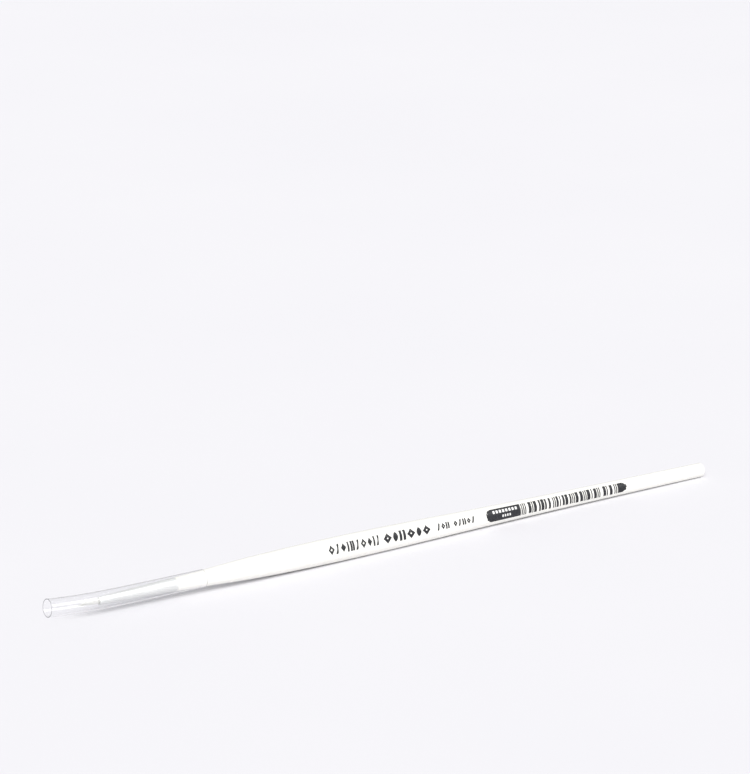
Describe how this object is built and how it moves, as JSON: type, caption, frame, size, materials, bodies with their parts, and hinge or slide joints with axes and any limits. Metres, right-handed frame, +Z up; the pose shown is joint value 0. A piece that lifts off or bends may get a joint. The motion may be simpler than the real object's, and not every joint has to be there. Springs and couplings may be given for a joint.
{
  "type": "fine detail brush",
  "caption": "Slim round detail brush for painting models: turned white handle, tapered ferrule, short pointed tuft of filaments and a clear slide-on protective tube.",
  "frame": {"origin": "on the plane that the brush lies on, under the middle of its whole length with the protective tube on", "axes": "X along the brush, with the tip and the open tube towards -X and the handle's end towards +X; +Z up, away from the plane that the belly of the handle touches"},
  "size_m": [0.197, 0.0062, 0.0063],
  "materials": {
    "handle_lacquer": null,
    "ferrule_metal": "satin, light grey",
    "glue": "cured adhesive",
    "resin": "cured amber resin",
    "filament": "white synthetic filament, satin",
    "thread": "waxed thread",
    "clear_tube": "clear, colourless, glossy"
  },
  "bodies": {
    "brush": {"handle": "handle_lacquer", "ferrule": "ferrule_metal", "tenon_glue": "glue", "root_plug": "resin", "bristle_roots": "filament", "root_binding": "thread"},
    "tuft": {"filament_01": "filament", "filament_02": "filament", "filament_03": "filament", "filament_04": "filament", "filament_05": "filament", "filament_06": "filament", "filament_07": "filament", "filament_08": "filament", "filament_09": "filament", "filament_10": "filament", "filament_11": "filament", "filament_12": "filament", "filament_13": "filament", "filament_14": "filament", "filament_15": "filament", "filament_16": "filament", "filament_17": "filament", "filament_18": "filament", "filament_19": "filament", "filament_20": "filament", "filament_21": "filament", "filament_22": "filament", "filament_23": "filament", "filament_24": "filament", "filament_25": "filament", "filament_26": "filament", "filament_27": "filament", "filament_28": "filament", "filament_29": "filament", "filament_30": "filament", "filament_31": "filament", "filament_32": "filament", "filament_33": "filament", "filament_34": "filament", "filament_35": "filament", "filament_36": "filament", "filament_37": "filament"},
    "protective_tube": {"protective_tube": "clear_tube"}
  },
  "joints": [
    {"name": "tube_slide", "type": "slide", "parent": "brush", "child": "protective_tube", "axis": [-1, 0, 0], "range_m": [0, 0.045]},
    {"name": "tuft_bend", "type": "hinge", "parent": "brush", "child": "tuft", "pos_m": [-0.08525, 0, 0.00315], "axis": [0, 1, 0], "range_deg": [-18, 18], "stiffness_Nm_per_rad": 0.0003}
  ]
}
